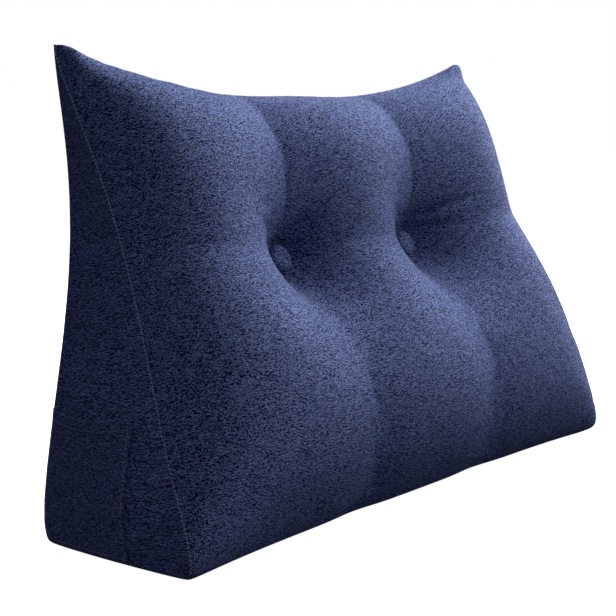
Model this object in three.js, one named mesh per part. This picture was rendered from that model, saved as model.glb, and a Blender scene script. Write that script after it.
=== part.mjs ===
// A wedge-shaped reading pillow: one filled body, sewn from a front, a back, a base and two
// side panels, with pointed top corners. Two covered buttons draw the front in, so that it
// swells in three columns of two lobes. A patch pocket lies on the left side panel.
// Millimetres, +X to the sitter's left across the width, -Y the front, +Z up.
import * as THREE from 'three'
import { mergeVertices } from 'three/addons/utils/BufferGeometryUtils.js'

// Seam frame
const FOOT_WIDTH = 800        // between the side seams at the base
const EAR_SPAN = 716          // between the tips of the top corners
const HEIGHT = 488            // floor to tips
const FOOT_DEPTH = 197        // base panel, front seam to back seam
const EAR_SETBACK = 12.5      // the tips stand this far behind the back foot seam
const SEAM_LIFT = 8           // the base seams ride this high above the floor
const SIDE_DRAW = 26.5        // the side seams draw in this much at mid height
const RIDGE_SAG = 48          // the top seam hangs this far below the tips
const RIDGE_POWER = 2.5       // how squarely it drops from the tips
const RIDGE_HUMP = 1.3        // the middle lobe lifts the seam again
const RIDGE_HUMP_REACH = 60
const RIDGE_FORWARD = 2.2     // the seam's middle stands this far in front of the tips
const FOOT_DRAW = { front: 15, back: 8 }   // the foot seams bow in towards the middle
const FOOT_PINCH = 4          // the front foot seam is pinched under each valley
const FOOT_PINCH_REACH = 40
const CORNER_TUCK = 4         // the four base corners are rounded off
const CORNER_REACH = 13
const SWAY = { low: 9, lowAt: 0.08, high: 6 }   // the front side seam swings out, then in
const BASE_ROLL = 22          // width of the rounded edge under the base

// Crown of the front panel, measured square to its plane
const FRONT_LENGTH = 526.5    // up the slope, foot seam to tips
const CROWN = { low: 108, high: 83.5 }
const CROWN_TILT = 0.05       // the filling is this much fuller to the right, emptier to the left
const MIDDLE_FILL = 0.06      // and this much fuller in the middle column
const SIDE_RISE = { low: 55, high: 36.5 }   // distance in which the crown rises from the seams
const TOP_RISE = 39
const FOOT_RISE = 79
const FOOT_PUFF = { height: 12, up: 80, start: 15, side: 20, across: 120 }   // swell at the foot's ends
const EAR_FILL = { height: 45, start: 6, reach: 22 }   // keeps the top corners full to their tips
const LOBE_TURN = 240         // the lower lobes pass into the upper ones over this length

// Buttons, and the valleys that start from them
const BUTTON_X = 119
const BUTTON_UP = 0.588       // share of the front's length
const SIDE_UP = 0.576         // the same for the crossing valley's ends at the side seams
const BUTTON_RADIUS = 15.5
const BUTTON_HEIGHT = 11
const BUTTON_LIFT = 4         // the buttons ride this high on the stretched cloth
const VALLEY = { button: 0.245, top: 0.36, foot: 0.05, reach: 134, power: 2.55, crease: 5 }
const VALLEY_TOP = { left: -106, right: 133 }   // where the upright valleys meet the top seam
const VALLEY_FOOT = 116                         // and the foot seam
const VALLEY_FADE = { from: -0.12, to: 0.59 }   // share of the way from button to foot
const CROSS = { button: 0.27, middle: 0.395, side: 0.20, reach: 119, power: 1.87, crease: 5 }
const DIMPLE = { floor: 16, round: 7, slope: 1.45, steepUp: 1.02, steepDown: 0.83, mix: 1.8 }

// The other panels
const BACK_CROWN = { height: 30, sideRise: 50, topRise: 40, footRise: 35 }
const SIDE_CROWN = 12
const SIDE_FOOT_BULGE = { height: 4, reach: 60 }
const SIDE_FOLDS = [
  { height: 382, depth: 4, width: 12 },
  { height: 302, depth: 5, width: 13 },
  { height: 200, depth: 4, width: 14 },
]

// Patch pocket on the left side panel
const POCKET = { frontTop: -16, frontFoot: -27, backInset: 7, foot: 11, mouth: 144, mouthBack: 138 }
const POCKET_SAG = 6          // the mouth hangs down between its ends
const POCKET_EASE = 3         // and stands off the panel there
const POCKET_THICKNESS = 2.5
const GAP = 0.4               // between pieces that touch
const FACET_ALLOWANCE = 1.2   // the dimple's facets stand out this much under a button

// Grid lines: shares of the way at which the spacing changes, and the steps up to each
const COLUMNS = [
  { to: 0.28, count: 7 },
  { to: 0.40, count: 7 },
  { to: 0.93, count: 10 },
  { to: 1.00, count: 3 },
]
const ROWS = [
  { to: 0.05, count: 3 },
  { to: 0.53, count: 11 },
  { to: 0.645, count: 9 },
  { to: 0.94, count: 7 },
  { to: 1.00, count: 2 },
]
const THROUGH = [
  { to: 0.09, count: 1 },
  { to: 0.91, count: 5 },
  { to: 1.00, count: 1 },
]
const POCKET_ALONG = [{ to: 1, count: 14 }]
const POCKET_UP = [{ to: 1, count: 12 }]

const HALF_FOOT = FOOT_WIDTH / 2
const HALF_EARS = EAR_SPAN / 2
const FRONT_Y = -FOOT_DEPTH / 2
const BACK_Y = FOOT_DEPTH / 2
const EAR_Y = BACK_Y + EAR_SETBACK
const LEAN = Math.atan2(EAR_Y - FRONT_Y, HEIGHT)
const BUTTON_T = BUTTON_UP * FRONT_LENGTH

const clamp01 = (value) => Math.min(Math.max(value, 0), 1)
const blend = (from, to, share) => from + (to - from) * share
const smooth = (value) => clamp01(value) ** 2 * (3 - 2 * clamp01(value))
const rise = (distance, length) => 1 - Math.exp(-distance / length)

// A single hump over 0 to 1, with its peak at 1; the two powers set its lean.
function hump(share, early, late) {
  const peak = early / (early + late)
  const shape = (s) => s ** early * (1 - s) ** late
  return shape(clamp01(share)) / shape(peak)
}

// 1 on a valley's line, 0 from its reach on, with its crease rounded.
function valleyFall(distance, { reach, power, crease }) {
  const rounded = Math.hypot(distance, crease) - crease
  return clamp01(1 - rounded / reach) ** power
}

// Half the width between the side seams, by the share of the height.
function halfWidth(up) {
  return blend(HALF_FOOT, HALF_EARS, up) - SIDE_DRAW * hump(up, 2.2, 1.5)
}

// The top seam: place across is -1 to 1.
function ridgeLine(across) {
  const x = Math.abs(across) * HALF_EARS
  const sag = RIDGE_SAG * (1 - Math.abs(across) ** RIDGE_POWER)
  const lift = RIDGE_HUMP * Math.exp(-((x / RIDGE_HUMP_REACH) ** 2))
  return { y: EAR_Y - RIDGE_FORWARD * (1 - across ** 2), z: HEIGHT - sag + lift }
}

// The two foot seams, bowed in to the middle.
function frontFootLine(across) {
  const x = Math.abs(across) * HALF_FOOT
  const pinch = FOOT_PINCH * Math.exp(-(((x - BUTTON_X) / FOOT_PINCH_REACH) ** 2))
  return { y: FRONT_Y + FOOT_DRAW.front * (1 - across ** 4) + pinch, z: SEAM_LIFT }
}

function backFootLine(across) {
  return { y: BACK_Y - FOOT_DRAW.back * (1 - across ** 4), z: SEAM_LIFT }
}

// How far a place is drawn in by the rounding of the base corners.
function cornerTuck(across, up) {
  const side = (1 - Math.abs(across)) * HALF_FOOT
  return CORNER_TUCK * Math.exp(-side / CORNER_REACH) * Math.exp(-up * HEIGHT / CORNER_REACH)
}

// The front side seam leaves the straight line: out near the foot, in near the top.
function seamSway(up) {
  const low = (up / SWAY.lowAt) * Math.exp(1 - up / SWAY.lowAt)
  return SWAY.high * hump(up, 1.6, 0.7) - SWAY.low * low
}

// A swell just above the foot seam, towards its two ends.
function footPuff(fromSide, t) {
  const up = Math.exp(-t / FOOT_PUFF.up) * rise(t, FOOT_PUFF.start)
  return FOOT_PUFF.height * up * rise(fromSide, FOOT_PUFF.side) * Math.exp(-fromSide / FOOT_PUFF.across)
}

// The filling that reaches into a top corner, by the distances from its two seams.
function earFill(fromSide, fromTop) {
  const grown = rise(fromSide, EAR_FILL.start) * rise(fromTop, EAR_FILL.start)
  return EAR_FILL.height * grown * Math.exp(-(fromSide + fromTop) / EAR_FILL.reach)
}

// Height of the front's crown above its plane, before the buttons.
function lobes(s, t, width) {
  const outer = clamp01((Math.abs(s) - BUTTON_X) / (width - BUTTON_X))
  const level = FRONT_LENGTH * blend(BUTTON_UP, SIDE_UP, smooth(outer))
  const share = smooth((t - level + LOBE_TURN / 2) / LOBE_TURN)
  const sideRise = blend(SIDE_RISE.low, SIDE_RISE.high, share)
  const fromSide = width - Math.abs(s)
  const full = blend(CROWN.low, CROWN.high, share) * rise(t, FOOT_RISE) * rise(fromSide, sideRise)
  const fromTop = FRONT_LENGTH - t
  const crown = (full + footPuff(fromSide, t)) * rise(fromTop, TOP_RISE) + earFill(fromSide, fromTop)

  const above = clamp01((t - level) / (FRONT_LENGTH - level))
  const below = clamp01((level - t) / level)
  const fade = smooth((below - VALLEY_FADE.from) / (VALLEY_FADE.to - VALLEY_FADE.from))
  const depth = blend(VALLEY.button, VALLEY.top, above) + (VALLEY.foot - VALLEY.button) * fade
  const leftX = blend(blend(-BUTTON_X, VALLEY_TOP.left, above), -VALLEY_FOOT, below)
  const rightX = blend(blend(BUTTON_X, VALLEY_TOP.right, above), VALLEY_FOOT, below)
  const left = 1 - depth * valleyFall(s - leftX, VALLEY)
  const right = 1 - depth * valleyFall(s - rightX, VALLEY)

  const inward = Math.sin(clamp01(1 - Math.abs(s) / BUTTON_X) * Math.PI / 2) ** 0.8
  const outward = Math.sin(outer * Math.PI / 2) ** 0.8
  const fill = 1 + CROWN_TILT * s / width + MIDDLE_FILL * inward
  const crossDepth = CROSS.button + (CROSS.middle - CROSS.button) * inward
    + (CROSS.side - CROSS.button) * outward
  return crown * fill * left * right * (1 - crossDepth * valleyFall(t - level, CROSS))
}

// Height that a button's dimple allows, by the place around it.
function dimpleWall(ds, dt) {
  const steep = dt < 0 ? DIMPLE.steepDown : DIMPLE.steepUp
  const away = Math.max(Math.hypot(ds, dt * steep) - DIMPLE.floor, 0)
  return DIMPLE.slope * (Math.hypot(away, DIMPLE.round) - DIMPLE.round) + 0.2
}

function frontCrown(across, up) {
  const width = halfWidth(up)
  const s = across * width
  const t = up * FRONT_LENGTH
  let height = Math.max(lobes(s, t, width), 0)
  for (const x of [-BUTTON_X, BUTTON_X]) {
    const wall = dimpleWall(s - x, t - BUTTON_T)
    height *= wall / (height ** DIMPLE.mix + wall ** DIMPLE.mix) ** (1 / DIMPLE.mix)
  }
  return height
}

// Points on the five panels. Across runs -1 to 1, up and through run 0 to 1.
function frontPoint(across, up) {
  const foot = frontFootLine(across)
  const ridge = ridgeLine(across)
  const crown = frontCrown(across, up)
  const tuck = cornerTuck(across, up)
  const sway = seamSway(up) * Math.abs(across) ** 8
  const y = blend(foot.y, ridge.y, up) + sway - Math.cos(LEAN) * crown + tuck
  const z = blend(foot.z, ridge.z, up) + Math.sin(LEAN) * crown
  return new THREE.Vector3(across * halfWidth(up) - Math.sign(across) * tuck, y, Math.max(z, 0))
}

function backPoint(across, up) {
  const foot = backFootLine(across)
  const ridge = ridgeLine(across)
  const width = halfWidth(up)
  const sides = rise(width * (1 - Math.abs(across)), BACK_CROWN.sideRise)
  const ends = rise((1 - up) * HEIGHT, BACK_CROWN.topRise) * rise(up * HEIGHT, BACK_CROWN.footRise)
  const tuck = cornerTuck(across, up)
  const y = blend(foot.y, ridge.y, up) + BACK_CROWN.height * sides * ends - tuck
  return new THREE.Vector3(across * width - Math.sign(across) * tuck, y, blend(foot.z, ridge.z, up))
}

// How far the side panel swells out of the flat between its two seams.
function sideBulge(up, through, depth) {
  const arch = 1 - (2 * through - 1) ** 2
  const z = blend(SEAM_LIFT, HEIGHT, up)
  const crown = SIDE_CROWN * (depth / FOOT_DEPTH) * arch ** 0.8 * rise(up * HEIGHT, 25)
  const foot = SIDE_FOOT_BULGE.height * arch * Math.exp(-up * HEIGHT / SIDE_FOOT_BULGE.reach)
  let folds = 0
  for (const fold of SIDE_FOLDS) {
    folds += fold.depth * Math.exp(-(((z - fold.height) / fold.width) ** 2))
  }
  return crown + foot - folds * Math.sqrt(arch) * (depth / FOOT_DEPTH)
}

function sidePoint(side, up, through) {
  const front = frontPoint(side, up)
  const back = backPoint(side, up)
  const point = front.clone().lerp(back, through)
  point.x += side * sideBulge(up, through, back.y - front.y)
  return point
}

function basePoint(across, through) {
  const front = frontPoint(across, 0)
  const back = backPoint(across, 0)
  const point = front.clone().lerp(back, through)
  const edge = Math.min(Math.min(through, 1 - through) * (back.y - front.y),
    (1 - Math.abs(across)) * HALF_FOOT)
  point.x += Math.sign(across) * Math.abs(across) ** 6 * sideBulge(0, through, back.y - front.y)
  point.z = SEAM_LIFT * clamp01(1 - edge / BASE_ROLL) ** 2
  return point
}

// The grid lines of a table, as shares from 0 to 1.
function gridLines(table) {
  const lines = [0]
  for (const { to, count } of table) {
    const from = lines[lines.length - 1]
    for (let i = 1; i <= count; i += 1) lines.push(blend(from, to, i / count))
  }
  return lines
}

// The same lines on both sides of the middle, from -1 to 1.
function mirrored(lines) {
  const left = lines.slice(1).reverse().map((line) => -line)
  return [...left, ...lines]
}

// Adds the triangles of a grid of points to a list, leaving out those with no area.
function addGrid(triangles, grid, flip) {
  const add = (a, b, c) => {
    const flat = a.distanceTo(b) < 0.01 || b.distanceTo(c) < 0.01 || c.distanceTo(a) < 0.01
    if (!flat) triangles.push(...(flip ? [a, c, b] : [a, b, c]))
  }
  for (let i = 0; i + 1 < grid.length; i += 1) {
    const leftHalf = i < (grid.length - 1) / 2
    for (let j = 0; j + 1 < grid[i].length; j += 1) {
      const [a, b, c, d] = [grid[i][j], grid[i + 1][j], grid[i + 1][j + 1], grid[i][j + 1]]
      if (leftHalf) {
        add(a, b, c)
        add(a, c, d)
      } else {
        add(a, b, d)
        add(b, c, d)
      }
    }
  }
}

// One closed mesh from a list of triangle corners.
function solid(name, triangles, material) {
  const loose = new THREE.BufferGeometry().setFromPoints(triangles)
  const geometry = mergeVertices(loose, 0.005)
  geometry.computeVertexNormals()
  const mesh = new THREE.Mesh(geometry, material)
  mesh.name = name
  return mesh
}

function cloth(color) {
  return new THREE.MeshStandardMaterial({ color, roughness: 0.95, metalness: 0 })
}

function makeBody() {
  const across = mirrored(gridLines(COLUMNS))
  const up = gridLines(ROWS)
  const through = gridLines(THROUGH)
  const triangles = []
  addGrid(triangles, across.map((u) => up.map((v) => frontPoint(u, v))), false)
  addGrid(triangles, across.map((u) => up.map((v) => backPoint(u, v))), true)
  addGrid(triangles, across.map((u) => through.map((w) => basePoint(u, w))), true)
  addGrid(triangles, up.map((v) => through.map((w) => sidePoint(-1, v, w))), false)
  addGrid(triangles, up.map((v) => through.map((w) => sidePoint(1, v, w))), true)
  return solid('cushion_body', triangles, cloth(0x38426f))
}

// A covered button: a flat back, a rounded rim and a low dome, turned about its own axis.
function makeButton(name, x) {
  const rim = 8
  const outline = [new THREE.Vector2(0, 0), new THREE.Vector2(BUTTON_RADIUS * 0.8, 0)]
  for (let i = 0; i <= rim; i += 1) {
    const turn = (i / rim) * Math.PI / 2
    const radius = i === rim ? 0 : BUTTON_RADIUS * Math.cos(turn) ** 0.75
    outline.push(new THREE.Vector2(radius, blend(BUTTON_HEIGHT * 0.3, BUTTON_HEIGHT, Math.sin(turn))))
  }
  const lathe = new THREE.LatheGeometry(outline, 32)
  lathe.deleteAttribute('uv')
  lathe.deleteAttribute('normal')
  const geometry = mergeVertices(lathe, 0.005)
  geometry.computeVertexNormals()
  const button = new THREE.Mesh(geometry, cloth(0x323c66))
  button.name = name

  const across = x / halfWidth(BUTTON_UP)
  const foot = frontFootLine(across)
  const ridge = ridgeLine(across)
  const seat = highestUnderButton(x) + FACET_ALLOWANCE + BUTTON_LIFT + GAP
  button.position.set(x, blend(foot.y, ridge.y, BUTTON_UP) - Math.cos(LEAN) * seat,
    blend(foot.z, ridge.z, BUTTON_UP) + Math.sin(LEAN) * seat)
  button.rotation.x = Math.PI - LEAN
  return button
}

// The highest point of the dimple's floor under a button's flat back.
function highestUnderButton(x) {
  let highest = -Infinity
  for (let turn = 0; turn < 24; turn += 1) {
    for (const radius of [0, BUTTON_RADIUS / 2, BUTTON_RADIUS]) {
      const angle = (turn / 24) * 2 * Math.PI
      const up = BUTTON_UP + radius * Math.sin(angle) / FRONT_LENGTH
      const across = (x + radius * Math.cos(angle)) / halfWidth(up)
      highest = Math.max(highest, frontCrown(across, up))
    }
  }
  return highest
}

// A point of the left side panel by depth and height, moved out of the panel.
function panelPoint(y, z, out) {
  const up = (z - SEAM_LIFT) / (HEIGHT - SEAM_LIFT)
  const front = frontPoint(-1, up)
  const back = backPoint(-1, up)
  const through = clamp01((y - front.y) / (back.y - front.y))
  const point = sidePoint(-1, up, through)
  return new THREE.Vector3(point.x - out, y, z)
}

// The patch pocket: one sheet that follows the panel, its mouth hanging a little open.
function makePocket() {
  const along = gridLines(POCKET_ALONG)
  const upward = gridLines(POCKET_UP)
  const layer = (extra) => along.map((a) => upward.map((b) => {
    const mouth = blend(POCKET.mouth, POCKET.mouthBack, a) - POCKET_SAG * Math.sin(Math.PI * a)
    const z = blend(POCKET.foot, mouth, b)
    const backSeam = backPoint(-1, (z - SEAM_LIFT) / (HEIGHT - SEAM_LIFT)).y
    const y = blend(blend(POCKET.frontFoot, POCKET.frontTop, b), backSeam - POCKET.backInset, a)
    const ease = POCKET_EASE * Math.sin(Math.PI * a) * b ** 6
    return panelPoint(y, z, GAP + ease + extra)
  }))
  const inner = layer(0)
  const outer = layer(POCKET_THICKNESS)
  const triangles = []
  addGrid(triangles, outer, true)
  addGrid(triangles, inner, false)
  addGrid(triangles, [inner.map((row) => row[0]), outer.map((row) => row[0])], false)
  addGrid(triangles, [inner.map((row) => row.at(-1)), outer.map((row) => row.at(-1))], true)
  addGrid(triangles, [inner[0], outer[0]], true)
  addGrid(triangles, [inner.at(-1), outer.at(-1)], false)
  return solid('side_pocket', triangles, cloth(0x343e69))
}

// The origin is the middle of the whole pillow, at the floor.
const group = new THREE.Group()
group.add(makeBody())
group.add(makeButton('tuft_button_left', -BUTTON_X))
group.add(makeButton('tuft_button_right', BUTTON_X))
group.add(makePocket())
const middle = new THREE.Box3().setFromObject(group, true).getCenter(new THREE.Vector3())
group.position.set(-middle.x, -middle.y, 0)
group.updateMatrixWorld(true)

export default group
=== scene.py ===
"""A wedge-shaped reading pillow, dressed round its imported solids.

One filled body drawn in by two covered buttons, with a patch pocket on its left side.
Its cover is sewn from five panels of a melange weave, whose stitches show at the seams.
Metres, +X across the width, -Y out of the tufted front, +Z up.
"""

import logging
import math
from dataclasses import dataclass
from enum import Enum
from typing import Iterable, Sequence

import bmesh
import bpy
import numpy as np
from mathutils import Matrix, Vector
from mathutils.bvhtree import BVHTree


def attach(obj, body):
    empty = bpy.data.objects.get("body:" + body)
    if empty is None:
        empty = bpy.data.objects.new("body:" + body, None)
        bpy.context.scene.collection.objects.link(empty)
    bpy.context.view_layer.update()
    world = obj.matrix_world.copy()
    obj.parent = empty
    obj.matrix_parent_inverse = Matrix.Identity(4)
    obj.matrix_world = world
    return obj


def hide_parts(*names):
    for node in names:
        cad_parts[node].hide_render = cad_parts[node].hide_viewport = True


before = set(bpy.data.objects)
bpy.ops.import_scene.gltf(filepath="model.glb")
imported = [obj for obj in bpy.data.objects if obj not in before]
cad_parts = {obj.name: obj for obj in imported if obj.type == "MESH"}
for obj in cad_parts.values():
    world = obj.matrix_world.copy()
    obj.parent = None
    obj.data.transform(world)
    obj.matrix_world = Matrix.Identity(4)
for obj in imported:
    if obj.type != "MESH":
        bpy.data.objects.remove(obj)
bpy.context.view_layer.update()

LOG = logging.getLogger("reading_pillow")
BODY = "root"
MM = 0.001


class Side(Enum):
    """The two sides of the pillow, seen from the front."""

    LEFT = -1
    RIGHT = 1


def smooth(share: np.ndarray) -> np.ndarray:
    """Eases a share from 0 to 1."""
    held = np.clip(share, 0.0, 1.0)
    return held * held * (3.0 - 2.0 * held)


def rise(distance: np.ndarray, length: float) -> np.ndarray:
    """Climbs from 0 at no distance towards 1, over about the length."""
    return 1.0 - np.exp(-distance / length)


def bell(distance: np.ndarray, reach: float) -> np.ndarray:
    """Falls from 1 at no distance to 0 well past the reach."""
    return np.exp(-((distance / reach) ** 2))


def hump(share: np.ndarray, early: float, late: float) -> np.ndarray:
    """Gives a single hump over 0 to 1, with its peak at 1.

    Args:
        share: Place along the hump.
        early: Power of the climb.
        late: Power of the fall.

    Returns:
        The hump's height at each place.
    """
    peak = early / (early + late)
    held = np.clip(share, 0.0, 1.0)
    return held**early * (1.0 - held) ** late / (peak**early * (1.0 - peak) ** late)


@dataclass(frozen=True)
class Valley:
    """A valley between two lobes: how far it reaches and how sharp its crease is."""

    reach: float
    power: float
    crease: float

    def fall(self, distance: np.ndarray) -> np.ndarray:
        """Gives 1 on the valley's line and 0 from its reach on."""
        rounded = np.hypot(distance, self.crease) - self.crease
        return np.clip(1.0 - rounded / self.reach, 0.0, 1.0) ** self.power


@dataclass(frozen=True)
class PillowForm:
    """The pillow's shape: its seams, the front's lobes and its other panels."""

    shift: tuple[float, float] = (0.00157, -0.00848)
    foot_half: float = 0.400
    ear_half: float = 0.358
    height: float = 0.488
    foot_depth: float = 0.197
    ear_setback: float = 0.0125
    seam_lift: float = 0.008
    side_draw: float = 0.0265
    side_draw_powers: tuple[float, float] = (2.2, 1.5)
    ridge_sag: float = 0.048
    ridge_power: float = 2.5
    ridge_hump: float = 0.0013
    ridge_hump_reach: float = 0.060
    ridge_forward: float = 0.0022
    front_foot_draw: float = 0.015
    back_foot_draw: float = 0.008
    foot_draw_power: int = 4
    foot_pinch: float = 0.004
    foot_pinch_reach: float = 0.040
    corner_tuck: float = 0.004
    corner_reach: float = 0.013
    sway_low: float = 0.009
    sway_low_at: float = 0.08
    sway_high: float = 0.006
    sway_high_powers: tuple[float, float] = (1.6, 0.7)
    sway_across: int = 8
    base_roll: float = 0.022

    front_length: float = 0.5265
    crown_low: float = 0.108
    crown_high: float = 0.0835
    crown_tilt: float = 0.05
    middle_fill: float = 0.06
    side_rise_low: float = 0.055
    side_rise_high: float = 0.0365
    top_rise: float = 0.039
    foot_rise: float = 0.079
    puff_height: float = 0.012
    puff_up: float = 0.080
    puff_start: float = 0.015
    puff_side: float = 0.020
    puff_across: float = 0.120
    ear_fill: float = 0.045
    ear_fill_start: float = 0.006
    ear_fill_reach: float = 0.022
    lobe_turn: float = 0.240

    button_x: float = 0.119
    button_up: float = 0.588
    side_up: float = 0.576
    upright: Valley = Valley(0.134, 2.55, 0.005)
    upright_depths: tuple[float, float, float] = (0.245, 0.36, 0.05)
    upright_tops: tuple[float, float] = (-0.106, 0.133)
    upright_foot: float = 0.116
    upright_fade: tuple[float, float] = (-0.12, 0.59)
    cross: Valley = Valley(0.119, 1.87, 0.005)
    cross_round: float = 0.8
    cross_depths: tuple[float, float, float] = (0.27, 0.395, 0.20)
    dimple_floor: float = 0.016
    dimple_round: float = 0.007
    dimple_slope: float = 1.45
    dimple_steeps: tuple[float, float] = (1.02, 0.83)
    dimple_mix: float = 1.8
    dimple_least: float = 0.0002

    back_crown: float = 0.030
    back_rises: tuple[float, float, float] = (0.050, 0.040, 0.035)
    side_crown: float = 0.012
    side_crown_rise: float = 0.025
    side_round: float = 0.8
    side_foot_across: int = 6
    side_foot: float = 0.004
    side_foot_reach: float = 0.060
    side_folds: tuple[tuple[float, float, float], ...] = (
        (0.382, 0.004, 0.012),
        (0.302, 0.005, 0.013),
        (0.200, 0.004, 0.014),
    )

    @property
    def front_y(self) -> float:
        """Depth of the front foot seam's ends."""
        return -self.foot_depth / 2

    @property
    def back_y(self) -> float:
        """Depth of the back foot seam's ends."""
        return self.foot_depth / 2

    @property
    def ear_y(self) -> float:
        """Depth of the top corners' tips."""
        return self.back_y + self.ear_setback

    @property
    def lean(self) -> float:
        """Angle of the front's plane from the upright."""
        return math.atan2(self.ear_y - self.front_y, self.height)

    @property
    def outward(self) -> np.ndarray:
        """The front plane's normal."""
        return np.array([0.0, -math.cos(self.lean), math.sin(self.lean)])

    def half_width(self, up: np.ndarray) -> np.ndarray:
        """Half the width between the side seams."""
        straight = self.foot_half + (self.ear_half - self.foot_half) * up
        return straight - self.side_draw * hump(up, *self.side_draw_powers)

    def ridge_line(self, across: np.ndarray) -> tuple[np.ndarray, np.ndarray]:
        """Follows the top seam.

        Args:
            across: Place from side seam to side seam, -1 to 1.

        Returns:
            Its depth and its height.
        """
        place = np.abs(across)
        sag = self.ridge_sag * (1.0 - place**self.ridge_power)
        lift = self.ridge_hump * bell(place * self.ear_half, self.ridge_hump_reach)
        return self.ear_y - self.ridge_forward * (1.0 - across**2), self.height - sag + lift

    def front_foot_line(self, across: np.ndarray) -> tuple[np.ndarray, np.ndarray]:
        """Follows the front foot seam.

        Args:
            across: Place from side seam to side seam, -1 to 1.

        Returns:
            Its depth and its height.
        """
        place = np.abs(across) * self.foot_half
        pinch = self.foot_pinch * bell(place - self.button_x, self.foot_pinch_reach)
        depth = self.front_y + self.front_foot_draw * (1.0 - across**self.foot_draw_power) + pinch
        return depth, np.full_like(depth, self.seam_lift)

    def back_foot_line(self, across: np.ndarray) -> tuple[np.ndarray, np.ndarray]:
        """Depth and height of the back foot seam."""
        depth = self.back_y - self.back_foot_draw * (1.0 - across**self.foot_draw_power)
        return depth, np.full_like(depth, self.seam_lift)

    def tuck(self, across: np.ndarray, up: np.ndarray) -> np.ndarray:
        """Tells how far a place is drawn in by the rounding of the base corners.

        Args:
            across: Place from side seam to side seam, -1 to 1.
            up: Share of the way up.

        Returns:
            The distance, the same in and back.
        """
        side = (1.0 - np.abs(across)) * self.foot_half
        far = np.exp(-side / self.corner_reach) * np.exp(-up * self.height / self.corner_reach)
        return self.corner_tuck * far

    def seam_sway(self, up: np.ndarray) -> np.ndarray:
        """How far the front side seam leaves the straight line."""
        low = (up / self.sway_low_at) * np.exp(1.0 - up / self.sway_low_at)
        return self.sway_high * hump(up, *self.sway_high_powers) - self.sway_low * low

    def lobes(self, s: np.ndarray, t: np.ndarray, width: np.ndarray) -> np.ndarray:
        """Height of the front's crown above its plane, before the buttons.

        Args:
            s: Place across, from the middle.
            t: Place up the slope, from the foot seam.
            width: Half the front's width there.

        Returns:
            The crown's height.
        """
        outer = np.clip((np.abs(s) - self.button_x) / (width - self.button_x), 0.0, 1.0)
        level = self.button_up + (self.side_up - self.button_up) * smooth(outer)
        level = level * self.front_length
        share = smooth((t - level + self.lobe_turn / 2) / self.lobe_turn)
        side_rise = self.side_rise_low + (self.side_rise_high - self.side_rise_low) * share
        from_side = width - np.abs(s)
        full = self.crown_low + (self.crown_high - self.crown_low) * share
        full = full * rise(t, self.foot_rise) * rise(from_side, side_rise)
        puff = self.puff_height * np.exp(-t / self.puff_up) * rise(t, self.puff_start)
        puff = puff * rise(from_side, self.puff_side) * np.exp(-from_side / self.puff_across)
        from_top = self.front_length - t
        ear = rise(from_side, self.ear_fill_start) * rise(from_top, self.ear_fill_start)
        ear = self.ear_fill * ear * np.exp(-(from_side + from_top) / self.ear_fill_reach)
        crown = (full + puff) * rise(from_top, self.top_rise) + ear

        above = np.clip((t - level) / (self.front_length - level), 0.0, 1.0)
        below = np.clip((level - t) / level, 0.0, 1.0)
        at_button, at_top, at_foot = self.upright_depths
        start, end = self.upright_fade
        fade = smooth((below - start) / (end - start))
        depth = at_button + (at_top - at_button) * above + (at_foot - at_button) * fade
        for side, top in zip(Side, self.upright_tops):
            button_x, foot_x = side.value * self.button_x, side.value * self.upright_foot
            line = button_x + (top - button_x) * above + (foot_x - button_x) * below
            crown = crown * (1.0 - depth * self.upright.fall(s - line))

        inner = np.clip(1.0 - np.abs(s) / self.button_x, 0.0, 1.0)
        inward, outward = (
            np.sin(share * np.pi / 2) ** self.cross_round for share in (inner, outer)
        )
        fill = 1.0 + self.crown_tilt * s / width + self.middle_fill * inward
        at_button, at_middle, at_side = self.cross_depths
        depth = at_button + (at_middle - at_button) * inward + (at_side - at_button) * outward
        return crown * fill * (1.0 - depth * self.cross.fall(t - level))

    def front_crown(self, across: np.ndarray, up: np.ndarray) -> np.ndarray:
        """Gives the height of the front above its plane, buttons included.

        Args:
            across: Place from side seam to side seam, -1 to 1.
            up: Share of the way up the slope.

        Returns:
            The height, square to the plane.
        """
        width = self.half_width(up)
        s = across * width
        t = up * self.front_length
        button_t = self.button_up * self.front_length
        height = np.maximum(self.lobes(s, t, width), 0.0)
        steep_up, steep_down = self.dimple_steeps
        for side in Side:
            ds, dt = s - side.value * self.button_x, t - button_t
            steep = np.where(dt < 0.0, steep_down, steep_up)
            away = np.maximum(np.hypot(ds, dt * steep) - self.dimple_floor, 0.0)
            wall = np.hypot(away, self.dimple_round) - self.dimple_round
            wall = self.dimple_slope * wall + self.dimple_least
            power = self.dimple_mix
            height = height * wall / (height**power + wall**power) ** (1.0 / power)
        return height

    def placed(self, x: np.ndarray, y: np.ndarray, z: np.ndarray) -> np.ndarray:
        """Stacks coordinates and moves them to the row's origin."""
        return np.stack([x + self.shift[0], y + self.shift[1], z], -1)

    def front(self, across: np.ndarray, up: np.ndarray) -> np.ndarray:
        """Lays points on the front panel.

        Args:
            across: Place from side seam to side seam, -1 to 1.
            up: Share of the way from the foot seam to the top seam.

        Returns:
            The points.
        """
        foot_y, foot_z = self.front_foot_line(across)
        ridge_y, ridge_z = self.ridge_line(across)
        crown = self.front_crown(across, up)
        tuck = self.tuck(across, up)
        sway = self.seam_sway(up) * np.abs(across) ** self.sway_across
        y = foot_y + (ridge_y - foot_y) * up + sway
        z = foot_z + (ridge_z - foot_z) * up + self.outward[2] * crown
        x = across * self.half_width(up) - np.sign(across) * tuck
        return self.placed(x, y + self.outward[1] * crown + tuck, np.maximum(z, 0.0))

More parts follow.
